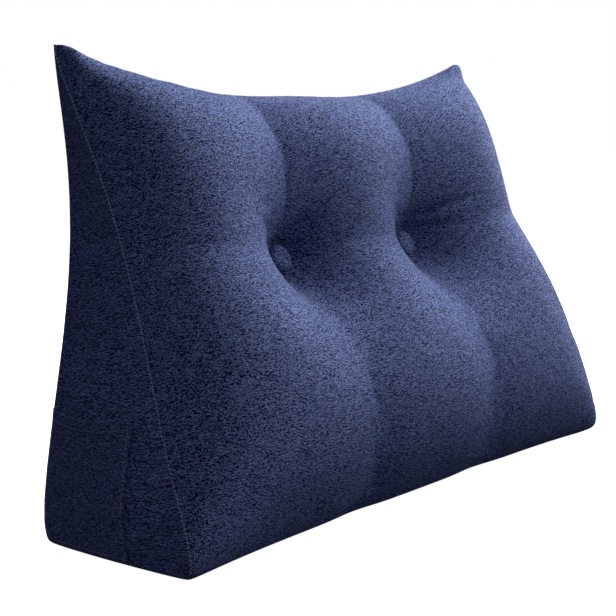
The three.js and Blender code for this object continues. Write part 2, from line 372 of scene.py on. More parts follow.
    def back(self, across: np.ndarray, up: np.ndarray) -> np.ndarray:
        """Lays points on the back panel.

        Args:
            across: Place from side seam to side seam, -1 to 1.
            up: Share of the way from the foot seam to the top seam.

        Returns:
            The points.
        """
        foot_y, foot_z = self.back_foot_line(across)
        ridge_y, ridge_z = self.ridge_line(across)
        width = self.half_width(up)
        side, top, foot = self.back_rises
        crown = rise(width * (1.0 - np.abs(across)), side)
        crown = crown * rise((1.0 - up) * self.height, top) * rise(up * self.height, foot)
        tuck = self.tuck(across, up)
        y = foot_y + (ridge_y - foot_y) * up + self.back_crown * crown - tuck
        z = foot_z + (ridge_z - foot_z) * up
        return self.placed(across * width - np.sign(across) * tuck, y, z)

    def side_bulge(self, up: np.ndarray, through: np.ndarray, depth: np.ndarray) -> np.ndarray:
        """Tells how far a side panel swells out of the flat between its two seams.

        Args:
            up: Share of the way up.
            through: Share of the way from the front seam to the back seam.
            depth: Distance between the two seams at that height.

        Returns:
            The distance, less its folds.
        """
        arch = 1.0 - (2.0 * through - 1.0) ** 2
        z = self.seam_lift + (self.height - self.seam_lift) * up
        share = depth / self.foot_depth
        grown = rise(up * self.height, self.side_crown_rise)
        crown = self.side_crown * share * arch**self.side_round * grown
        foot = self.side_foot * arch * np.exp(-up * self.height / self.side_foot_reach)
        folds = sum(deep * bell(z - at, width) for at, deep, width in self.side_folds)
        return crown + foot - folds * np.sqrt(arch) * share

    def side(self, which: Side, up: np.ndarray, through: np.ndarray) -> np.ndarray:
        """Lays points on a side panel.

        Args:
            which: The side.
            up: Share of the way up.
            through: Share of the way from the front seam to the back seam.

        Returns:
            The points.
        """
        edge = np.full_like(up, float(which.value))
        front, back = self.front(edge, up), self.back(edge, up)
        points = front + (back - front) * through[..., None]
        bulge = self.side_bulge(up, through, back[..., 1] - front[..., 1])
        points[..., 0] += which.value * bulge
        return points

    def base(self, across: np.ndarray, through: np.ndarray) -> np.ndarray:
        """Lays points on the base panel, whose edges roll up to the seams.

        Args:
            across: Place from side seam to side seam, -1 to 1.
            through: Share of the way from the front seam to the back seam.

        Returns:
            The points.
        """
        low = np.zeros_like(across)
        front, back = self.front(across, low), self.back(across, low)
        points = front + (back - front) * through[..., None]
        depth = back[..., 1] - front[..., 1]
        edge = np.minimum(
            np.minimum(through, 1.0 - through) * depth, (1.0 - np.abs(across)) * self.foot_half
        )
        bulge = self.side_bulge(low, through, depth)
        points[..., 0] += np.sign(across) * np.abs(across) ** self.side_foot_across * bulge
        points[..., 2] = self.seam_lift * np.clip(1.0 - edge / self.base_roll, 0.0, 1.0) ** 2
        return points


def spread(stops: Sequence[tuple[float, int]]) -> np.ndarray:
    """Lays grid lines from 0 to 1.

    Args:
        stops: Each share to reach, and the number of even steps up to it.

    Returns:
        The lines, the first at 0 and the last at 1.
    """
    lines = [0.0]
    for share, count in stops:
        start = lines[-1]
        lines += [start + (share - start) * (i + 1) / count for i in range(count)]
    return np.array(lines)


def mirrored(lines: np.ndarray) -> np.ndarray:
    """Lays the same lines on both sides of the middle, from -1 to 1."""
    return np.concatenate([-lines[:0:-1], lines])


def lay_flat(points: np.ndarray, rounds: int = 240) -> np.ndarray:
    """Finds the flat coordinates of a panel's cloth, in metres.

    The threads start at their own lengths along and across, and are then eased until the
    weave is as little drawn or sheared as the panel's swelling lets it be.

    Args:
        points: The panel's grid of points, along then up.
        rounds: How many times the threads are eased.

    Returns:
        The grid's flat coordinates.
    """
    along = np.linalg.norm(np.diff(points, axis=0), axis=-1).mean(1)
    up = np.linalg.norm(np.diff(points, axis=1), axis=-1).mean(0)
    u = np.concatenate([[0.0], np.cumsum(along)])
    v = np.concatenate([[0.0], np.cumsum(up)])
    chart = np.stack(np.meshgrid(u - u[-1] / 2, v, indexing="ij"), -1)
    wide, tall = chart.shape[:2]
    threads = []
    for di, dj in ((1, 0), (0, 1), (1, 1), (1, -1)):
        near = (slice(0, wide - di), slice(max(0, -dj), tall - max(0, dj)))
        far = (slice(di, wide), slice(max(0, dj), tall - max(0, -dj)))
        threads.append((near, far, np.linalg.norm(points[far] - points[near], axis=-1)))
    for _ in range(rounds):
        push = np.zeros_like(chart)
        count = np.zeros(chart.shape[:2] + (1,))
        for near, far, length in threads:
            gap = chart[far] - chart[near]
            now = np.maximum(np.linalg.norm(gap, axis=-1), 1e-7)
            move = (0.5 * (1.0 - length / now))[..., None] * gap
            push[near] += move
            push[far] -= move
            count[near] += 1
            count[far] += 1
        chart = chart + push / count
    return chart


@dataclass(frozen=True)
class Crease:
    """A soft fold in the front, placed one by one: a short line across and up the slope."""

    start: tuple[float, float]
    end: tuple[float, float]
    depth: float
    width: float
    fade_in: float = 0.18
    fade_out: float = 0.6

    def sink(self, s: np.ndarray, t: np.ndarray) -> np.ndarray:
        """Tells how far the fold draws each place in.

        Args:
            s: Place across, from the middle.
            t: Place up the slope, from the foot seam.

        Returns:
            The depth at each place, dying away at the fold's two ends.
        """
        start, end = np.array(self.start), np.array(self.end)
        run = end - start
        length = float(np.hypot(*run))
        share = ((s - start[0]) * run[0] + (t - start[1]) * run[1]) / length**2
        away = ((s - start[0]) * run[1] - (t - start[1]) * run[0]) / length
        ends = smooth(share / self.fade_in) * smooth((1.0 - share) / self.fade_out)
        return self.depth * bell(away, self.width) * ends


@dataclass(frozen=True)
class Puckers:
    """Small uneven folds that run square to a seam and die away from it."""

    pitch: float
    depth: float
    start: float
    reach: float
    turn: float
    sways: tuple[tuple[float, float, float], ...] = ((1.9, 2.7, 1.0), (1.1, 5.3, 0.0))
    swell: tuple[float, float, float] = (0.62, 0.38, 4.1)

    def wave(self, along: np.ndarray) -> np.ndarray:
        """Ripples unevenly along the seam.

        Args:
            along: Place along the seam.

        Returns:
            The ripple, between about -1 and 1.
        """
        phase = 2.0 * np.pi * along / self.pitch + self.turn
        sway = sum(much * np.sin(phase / longer + at) for much, longer, at in self.sways)
        even, much, longer = self.swell
        swell = even + much * np.sin(phase / longer + 2.0 * self.turn)
        return swell * np.sin(phase + sway)

    def height(self, along: np.ndarray, away: np.ndarray) -> np.ndarray:
        """Gives the height of the folds.

        Args:
            along: Place along the seam.
            away: Distance from the seam.

        Returns:
            The height, above or below the smooth cloth.
        """
        grow = smooth(away / self.start)
        return self.depth * self.wave(along) * grow * np.exp(-away / self.reach)


@dataclass
class Panel:
    """One panel of cloth: its grid of points and what is known about each.

    An upright panel's grid runs up first, so its rows of weave lie along the second way, and
    its yarns are drawn out: they look longer there than on the other panels.
    """

    points: np.ndarray
    marks: dict[str, np.ndarray]
    flip: bool
    upright: bool = False
    drawn_out: tuple[float, float] = (0.60, 1.0)


def shape_from_panels(name: str, panels: Iterable[Panel]) -> bpy.types.Object:
    """Sews panels into one closed mesh at their shared edges.

    Args:
        name: The piece's name.
        panels: The panels, whose edges meet.

    Returns:
        The new object, with a UV map of the cloth and an attribute for each mark.
    """
    bm = bmesh.new()
    chart_layer = bm.loops.layers.uv.new("cloth")
    for panel in panels:
        for mark in panel.marks:
            if bm.verts.layers.float.get(mark) is None:
                bm.verts.layers.float.new(mark)
        layers = {mark: bm.verts.layers.float.get(mark) for mark in panel.marks}
        chart = lay_flat(panel.points)
        if panel.upright:
            chart = chart[..., ::-1] * panel.drawn_out
        wide, tall = panel.points.shape[:2]
        grid = [[bm.verts.new(panel.points[i, j]) for j in range(tall)] for i in range(wide)]
        for mark, values in panel.marks.items():
            for i in range(wide):
                for j in range(tall):
                    grid[i][j][layers[mark]] = values[i, j]
        for i in range(wide - 1):
            for j in range(tall - 1):
                corners = [(i, j), (i + 1, j), (i + 1, j + 1), (i, j + 1)]
                if panel.flip:
                    corners.reverse()
                face = bm.faces.new([grid[a][b] for a, b in corners])
                face.smooth = True
                for loop, (a, b) in zip(face.loops, corners):
                    loop[chart_layer].uv = chart[a, b]
    bmesh.ops.remove_doubles(bm, verts=bm.verts, dist=1e-5)
    return piece_from(name, bm)


def placed_object(name: str, data: bpy.types.ID) -> bpy.types.Object:
    """Puts a mesh, a light or a camera into the scene as an object at the origin.

    Args:
        name: The object's name.
        data: The mesh, light or camera.

    Returns:
        The new object.
    """
    piece = bpy.data.objects.new(name, data)
    bpy.context.scene.collection.objects.link(piece)
    return piece


def piece_from(
    name: str, bm: bmesh.types.BMesh, cover: bpy.types.Material | None = None
) -> bpy.types.Object:
    """Makes loose faces into an object.

    Args:
        name: The object's name.
        bm: The faces, which are freed.
        cover: The material, or None to go without.

    Returns:
        The new object.
    """
    mesh = bpy.data.meshes.new(name)
    bm.to_mesh(mesh)
    bm.free()
    if cover is not None:
        mesh.materials.append(cover)
    return placed_object(name, mesh)


def plain_mesh(piece: bpy.types.Object) -> None:
    """Replaces a piece's mesh by the result of its modifiers, which are then removed.

    Args:
        piece: The piece.
    """
    graph = bpy.context.evaluated_depsgraph_get()
    made = bpy.data.meshes.new_from_object(piece.evaluated_get(graph), depsgraph=graph)
    old = piece.data
    piece.modifiers.clear()
    piece.data = made
    made.name = piece.name
    bpy.data.meshes.remove(old)


def vertices_of(mesh: bpy.types.Mesh) -> np.ndarray:
    """Reads a mesh's points.

    Args:
        mesh: The mesh.

    Returns:
        One row for each point.
    """
    flat = np.empty(len(mesh.vertices) * 3)
    mesh.vertices.foreach_get("co", flat)
    return flat.reshape(-1, 3)


def normals_of(mesh: bpy.types.Mesh) -> np.ndarray:
    """Reads a mesh's normals at its points.

    Args:
        mesh: The mesh.

    Returns:
        One row for each point.
    """
    flat = np.empty(len(mesh.vertices) * 3)
    mesh.vertex_normals.foreach_get("vector", flat)
    return flat.reshape(-1, 3)


def attribute_of(mesh: bpy.types.Mesh, name: str) -> np.ndarray:
    """Reads a number kept at each of a mesh's points.

    Args:
        mesh: The mesh.
        name: The attribute's name.

    Returns:
        One number for each point.
    """
    flat = np.empty(len(mesh.vertices))
    mesh.attributes[name].data.foreach_get("value", flat)
    return flat


def move_vertices(mesh: bpy.types.Mesh, points: np.ndarray) -> None:
    """Moves a mesh's points to new places."""
    mesh.vertices.foreach_set("co", points.ravel())
    mesh.update()


def blurred(grid: np.ndarray, rounds: int) -> np.ndarray:
    """Smooths a grid of numbers, a little each round, with its edges kept level.

    Args:
        grid: The numbers.
        rounds: How many times they are smoothed.

    Returns:
        The smoother grid.
    """
    for _ in range(rounds):
        wide = np.pad(grid, 1, mode="edge")
        grid = (
            4.0 * grid + wide[:-2, 1:-1] + wide[2:, 1:-1] + wide[1:-1, :-2] + wide[1:-1, 2:]
        ) / 8.0
    return grid


class Bench:
    """Lays out the nodes of one tree."""

    def __init__(self, tree: bpy.types.NodeTree) -> None:
        """Starts on a tree."""
        self.tree = tree

    def add(self, kind: str, *feeds: object, **settings: object) -> bpy.types.Node:
        """Adds a node.

        Args:
            kind: The node's type.
            feeds: What goes into its inputs in order: a socket, a value, or None to skip.
            settings: The node's own properties.

        Returns:
            The new node.
        """
        node = self.tree.nodes.new(kind)
        for key, value in settings.items():
            setattr(node, key, value)
        for socket, feed in zip(node.inputs, feeds):
            self.feed(socket, feed)
        return node

    def feed(self, socket: bpy.types.NodeSocket, feed: object) -> None:
        """Joins a socket to another one, or sets its value.

        Args:
            socket: The input.
            feed: The socket to join it to, its value, or None to leave it.
        """
        if isinstance(feed, bpy.types.NodeSocket):
            self.tree.links.new(feed, socket)
        elif feed is not None:
            socket.default_value = feed

    def math(self, operation: str, *feeds: object) -> bpy.types.NodeSocket:
        """Adds a sum and returns its result."""
        return self.add("ShaderNodeMath", *feeds, operation=operation).outputs[0]

    def mix(self, share: object, first: object, second: object) -> bpy.types.NodeSocket:
        """Adds a mix of two colours.

        Args:
            share: How much of the second colour shows.
            first: The first colour.
            second: The second colour.

        Returns:
            The result's socket.
        """
        node = self.add("ShaderNodeMix", data_type="RGBA")
        self.feed(node.inputs["Factor"], share)
        self.feed(node.inputs[6], first)
        self.feed(node.inputs[7], second)
        return node.outputs[2]

    def ramp(self, value: object, low: float, high: float) -> bpy.types.NodeSocket:
        """Stretches a range to 0 to 1, eased at both ends.

        Args:
            value: What is stretched.
            low: The value that becomes 0.
            high: The value that becomes 1.

        Returns:
            The result's socket.
        """
        node = self.add("ShaderNodeMapRange", interpolation_type="SMOOTHSTEP")
        self.feed(node.inputs["Value"], value)
        self.feed(node.inputs["From Min"], low)
        self.feed(node.inputs["From Max"], high)
        return node.outputs["Result"]


def new_material(name: str) -> tuple[bpy.types.Material, Bench, bpy.types.Node]:
    """Starts a material.

    Args:
        name: The material's name.

    Returns:
        The material, its bench and its shader.
    """
    made = bpy.data.materials.new(name)
    made.use_nodes = True
    return made, Bench(made.node_tree), made.node_tree.nodes["Principled BSDF"]


def new_group(
    name: str, inputs: dict[str, str], outputs: dict[str, str]
) -> tuple[Bench, dict[str, object], dict[str, object]]:
    """Starts a shader node group.

    Args:
        name: The group's name.
        inputs: Each input's name and socket type.
        outputs: Each output's name and socket type.

    Returns:
        The group's bench, its inputs and its outputs by name.
    """
    tree = bpy.data.node_groups.new(name, "ShaderNodeTree")
    for names, way in ((inputs, "INPUT"), (outputs, "OUTPUT")):
        for socket, kind in names.items():
            tree.interface.new_socket(socket, in_out=way, socket_type=kind)
    bench = Bench(tree)
    start, end = bench.add("NodeGroupInput"), bench.add("NodeGroupOutput")
    return bench, dict(start.outputs.items()), dict(end.inputs.items())


@dataclass(frozen=True)
class Dashes:
    """One kind of dash in the yarn: its length, its shares of the tone and its slide in a row."""

    length: float
    share: float
    share_beside: float
    slide: float


@dataclass(frozen=True)
class MelangeYarn:
    """How the yarn's tone comes about, from its dashes and a faint cloud, and where it turns."""

    long: Dashes = Dashes(1.0, 0.52, 0.16, 7.0)
    short: Dashes = Dashes(0.42, 0.33, 0.12, 13.0)
    cloud_share: float = 0.15
    cloud_scale: float = 95.0
    cloud_detail: float = 2.0
    deep_to_middle: tuple[float, float] = (0.35, 0.46)
    middle_to_light: tuple[float, float] = (0.49, 0.62)
    relief: float = 0.9
    round_across: float = 2.0
    round_along: float = 4.0

    @property
    def made_up(self) -> float:
        """What makes up for the tones taken off for the row beside, on the average."""
        return (self.long.share_beside + self.short.share_beside) / 2


def weave_group(yarn: MelangeYarn = MelangeYarn()) -> bpy.types.NodeTree:
    """Makes the melange weave: short light and dark dashes of yarn, row by row, and their relief.

    Args:
        yarn: How the yarn's tone comes about.

    Returns:
        The node group.
    """
    bench, given, out = new_group(
        "melange_weave",
        {
            "Cloth": "NodeSocketVector",
            "Row": "NodeSocketFloat",
            "Dash": "NodeSocketFloat",
            "Deep": "NodeSocketColor",
            "Middle": "NodeSocketColor",
            "Light": "NodeSocketColor",
        },
        {"Color": "NodeSocketColor", "Height": "NodeSocketFloat"},
    )
    parts = bench.add("ShaderNodeSeparateXYZ", given["Cloth"])
    u, v = parts.outputs[0], parts.outputs[1]
    place = bench.math("DIVIDE", v, given["Row"])
    row = bench.math("FLOOR", place)

    def dashes(row: object, kind: Dashes) -> tuple[object, object]:
        """Gives each dash of a row its tone.

        Args:
            row: The row's number.
            kind: The kind of dash.

        Returns:
            The tone, and the place along the row in dashes.
        """
        start = bench.add("ShaderNodeTexWhiteNoise", noise_dimensions="1D")
        bench.feed(start.inputs["W"], row)
        length = bench.math("MULTIPLY", given["Dash"], kind.length)
        along = bench.math("DIVIDE", u, length)
        along = bench.math("MULTIPLY_ADD", start.outputs["Value"], kind.slide, along)
        spot = bench.add("ShaderNodeCombineXYZ", bench.math("FLOOR", along), row, kind.slide)
        tone = bench.add("ShaderNodeTexWhiteNoise", noise_dimensions="3D")
        bench.feed(tone.inputs["Vector"], spot.outputs[0])
        return tone.outputs["Value"], along

    long_tone, _ = dashes(row, yarn.long)
    short_tone, along = dashes(row, yarn.short)
    next_row = bench.math("ADD", row, 1.0)
    next_long, next_short = dashes(next_row, yarn.long)[0], dashes(next_row, yarn.short)[0]
    cloud = bench.add("ShaderNodeTexNoise", noise_dimensions="3D")
    bench.feed(cloud.inputs["Vector"], given["Cloth"])
    bench.feed(cloud.inputs["Scale"], yarn.cloud_scale)
    bench.feed(cloud.inputs["Detail"], yarn.cloud_detail)
    tone = bench.math("MULTIPLY", long_tone, yarn.long.share)
    tone = bench.math("MULTIPLY_ADD", short_tone, yarn.short.share, tone)
    tone = bench.math("MULTIPLY_ADD", cloud.outputs[0], yarn.cloud_share, tone)
    beside = bench.math("MULTIPLY", next_short, yarn.short.share_beside)
    beside = bench.math("MULTIPLY_ADD", next_long, yarn.long.share_beside, beside)
    tone = bench.math("ADD", bench.math("SUBTRACT", tone, beside), yarn.made_up)
    color = bench.mix(bench.ramp(tone, *yarn.deep_to_middle), given["Deep"], given["Middle"])
    color = bench.mix(bench.ramp(tone, *yarn.middle_to_light), color, given["Light"])

    def rounded(value: object, square: float) -> bpy.types.NodeSocket:
        """Rounds a yarn's back.

        Args:
            value: Place across or along the yarns, in yarns.
            square: How squarely the back falls to its edges.

        Returns:
            0 at the yarn's edges and 1 along its middle.
        """
        away = bench.math("MULTIPLY_ADD", bench.math("FRACT", value), 2.0, -1.0)
        away = bench.math("POWER", bench.math("ABSOLUTE", away), square)
        return bench.math("SUBTRACT", 1.0, away)

    across = rounded(place, yarn.round_across)
    back = bench.math("MULTIPLY", across, rounded(along, yarn.round_along))
    bench.feed(out["Height"], bench.math("MULTIPLY_ADD", tone, yarn.relief, back))
    bench.feed(out["Color"], color)
    return bench.tree


@dataclass(frozen=True)
class MelangeCloth:
    """The navy-blue melange cloth, with its yarns' three tones.

    Where it is calm the yarns' tones lie nearer to their even average, as on the side panels.
    """

    name: str
    weave: bpy.types.NodeTree
    row: float = 0.00080
    dash: float = 0.00140
    deep: tuple[float, float, float] = (0.0020, 0.0034, 0.032)
    middle: tuple[float, float, float] = (0.014, 0.022, 0.145)
    light: tuple[float, float, float] = (0.380, 0.500, 1.0)
    roughness: float = 0.88
    specular: float = 0.05
    sheen: float = 0.05
    sheen_roughness: float = 0.40
    sheen_tint: tuple[float, float, float] = (0.68, 0.76, 1.0)
    relief: float = 0.0004
    relief_share: float = 1.0
    even: tuple[float, float, float] = (0.155, 0.200, 0.440)
    calm: float = 0.02
    calm_flank: float = 0.20

    def material(self) -> bpy.types.Material:
        """Builds the material.

        Returns:
            The material.
        """
        made, bench, shader = new_material(self.name)
        chart = bench.add("ShaderNodeUVMap", uv_map="cloth")
        weave = bench.add("ShaderNodeGroup", node_tree=self.weave)
        bench.feed(weave.inputs["Cloth"], chart.outputs[0])
        weave.inputs["Row"].default_value = self.row
        weave.inputs["Dash"].default_value = self.dash
        for socket, tone in (("Deep", self.deep), ("Middle", self.middle), ("Light", self.light)):
            weave.inputs[socket].default_value = (*tone, 1.0)
        bump = bench.add("ShaderNodeBump")
        bump.inputs["Strength"].default_value = self.relief_share
        bump.inputs["Distance"].default_value = self.relief
        bench.feed(bump.inputs["Height"], weave.outputs["Height"])
        flank = bench.add("ShaderNodeAttribute", attribute_name="flank").outputs["Fac"]
        calmer = bench.math("ABSOLUTE", flank)
        calmer = bench.math("MULTIPLY_ADD", calmer, self.calm_flank, self.calm)
        color = bench.mix(calmer, weave.outputs["Color"], (*self.even, 1.0))
        bench.feed(shader.inputs["Base Color"], color)
        bench.feed(shader.inputs["Normal"], bump.outputs[0])
        shader.inputs["Roughness"].default_value = self.roughness
        shader.inputs["Specular IOR Level"].default_value = self.specular
        shader.inputs["Sheen Weight"].default_value = self.sheen
        shader.inputs["Sheen Roughness"].default_value = self.sheen_roughness
        shader.inputs["Sheen Tint"].default_value = (*self.sheen_tint, 1.0)
        return made


@dataclass(frozen=True)
class SewingThread:
    """The pale blue thread of the seams, with the twist of its plies."""

    name: str = "sewing_thread"
    dark: tuple[float, float, float] = (0.42, 0.47, 0.64)
    pale: tuple[float, float, float] = (0.70, 0.76, 0.90)
    twist: float = 2600.0
    relief: float = 0.0001
    roughness: float = 0.6

    def material(self) -> bpy.types.Material:
        """Builds the material.

        Returns:
            The material.
        """
        made, bench, shader = new_material(self.name)
        place = bench.add("ShaderNodeTexCoord").outputs["Object"]
        plies = bench.add("ShaderNodeTexWave", wave_type="BANDS", bands_direction="DIAGONAL")
        bench.feed(plies.inputs["Vector"], place)
        bench.feed(plies.inputs["Scale"], self.twist)
        bench.feed(plies.inputs["Distortion"], 1.0)
        color = bench.mix(plies.outputs["Fac"], (*self.dark, 1.0), (*self.pale, 1.0))
        bump = bench.add("ShaderNodeBump")
        bump.inputs["Distance"].default_value = self.relief
        bench.feed(bump.inputs["Height"], plies.outputs["Fac"])
        bench.feed(shader.inputs["Base Color"], color)
        bench.feed(shader.inputs["Normal"], bump.outputs[0])
        shader.inputs["Roughness"].default_value = self.roughness
        return made


def stitch_tree() -> bpy.types.NodeTree:
    """Makes the geometry nodes that lay a run of stitches along the edges of a path.

    Returns:
        The node tree, with inputs for the stitches' sizes and their thread.
    """
    tree = bpy.data.node_groups.new("stitch_run", "GeometryNodeTree")
    face = tree.interface
    face.new_socket("Path", in_out="INPUT", socket_type="NodeSocketGeometry")
    for name in ("Pitch", "Length", "Radius"):
        face.new_socket(name, in_out="INPUT", socket_type="NodeSocketFloat")
    face.new_socket("Thread", in_out="INPUT", socket_type="NodeSocketMaterial")
    face.new_socket("Stitches", in_out="OUTPUT", socket_type="NodeSocketGeometry")
    bench = Bench(tree)
    given = bench.add("NodeGroupInput").outputs
    half = bench.math("MULTIPLY", given["Length"], 0.5)
    size = bench.add("ShaderNodeCombineXYZ", given["Radius"], given["Radius"], half)
    bead = bench.add("GeometryNodeMeshUVSphere")
    for name, value in (("Segments", 6), ("Rings", 5), ("Radius", 1.0)):
        bead.inputs[name].default_value = value
    stitch = bench.add("GeometryNodeTransform", bead.outputs["Mesh"])
    bench.feed(stitch.inputs["Scale"], size.outputs[0])
    soft = bench.add("GeometryNodeSetShadeSmooth", stitch.outputs[0])
    path = bench.add("GeometryNodeMeshToCurve", given["Path"])
    even = bench.add("GeometryNodeResampleCurve", path.outputs[0], mode="LENGTH")
    bench.feed(even.inputs["Length"], given["Pitch"])
    spots = bench.add("GeometryNodeCurveToPoints", even.outputs[0], mode="EVALUATED")
    laid = bench.add("GeometryNodeInstanceOnPoints", spots.outputs["Points"])
    bench.feed(laid.inputs["Instance"], soft.outputs[0])
    bench.feed(laid.inputs["Rotation"], spots.outputs["Rotation"])
    real = bench.add("GeometryNodeRealizeInstances", laid.outputs[0])
    dressed = bench.add("GeometryNodeSetMaterial", real.outputs[0])
    bench.feed(dressed.inputs["Material"], given["Thread"])
    bench.add("NodeGroupOutput", dressed.outputs[0])
    return tree


@dataclass
class StitchRuns:
    """Runs of stitches along given lines, made into one piece."""

    name: str
    tree: bpy.types.NodeTree
    thread: bpy.types.Material
    slot: str
    pitch: float = 0.0040
    length: float = 0.0031
    radius: float = 0.00070

    def build(self, lines: Sequence[np.ndarray]) -> bpy.types.Object:
        """Args:
            lines: The points of each line that a run follows.

        Returns:
            The piece.
        """
        mesh = bpy.data.meshes.new(self.name)
        starts = np.cumsum([0] + [len(line) for line in lines])
        edges = [
            (first + i, first + i + 1)
            for first, line in zip(starts, lines)
            for i in range(len(line) - 1)
        ]
        mesh.from_pydata([tuple(point) for line in lines for point in line], edges, [])
        piece = placed_object(self.name, mesh)
        sewing = piece.modifiers.new("stitches", "NODES")
        sewing.node_group = self.tree
        sizes = {"Pitch": self.pitch, "Length": self.length, "Radius": self.radius}
        values = {**sizes, "Thread": self.thread}
        for item in self.tree.interface.items_tree:
            if item.in_out == "INPUT" and item.name in values:
                sewing[item.identifier] = values[item.name]
        plain_mesh(piece)
        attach(piece, BODY)
        return piece


@dataclass(frozen=True)
class Fade:
    """A soft step from 0 to 1: where it starts, and the distance it takes."""

    start: float
    reach: float

    def at(self, place: np.ndarray) -> np.ndarray:
        """Tells how far the step has come at each place."""
        return smooth((place - self.start) / self.reach)


@dataclass(frozen=True)
class Filling:
    """How the cloth behaves while the filling presses it out, and how far it may move."""

    quality: int = 6
    mass: float = 0.3
    stretch_stiffness: float = 15.0
    shear_stiffness: float = 5.0
    bending_stiffness: float = 0.6
    spare_cloth: float = 0.006
    pressure: float = 4.0
    least_hold: float = 0.01
    start_smaller: float = 0.0005
    most_move: float = 0.0010
    last_frame: int = 20

    def soften(self, cloth: bpy.types.ClothModifier, held: str) -> None:
        """Gives the cloth its settings.

        Args:
            cloth: The modifier that moves the cloth.
            held: The name of the group of points that are held.
        """
        settings = cloth.settings
        settings.quality = self.quality
        settings.mass = self.mass
        settings.tension_stiffness = settings.compression_stiffness = self.stretch_stiffness
        settings.shear_stiffness = self.shear_stiffness
        settings.bending_stiffness = self.bending_stiffness
        settings.shrink_min = -self.spare_cloth
        settings.vertex_group_mass = held
        settings.use_pressure = True
        settings.uniform_pressure_force = self.pressure
        settings.effector_weights.gravity = 0.0
        cloth.point_cache.frame_end = self.last_frame


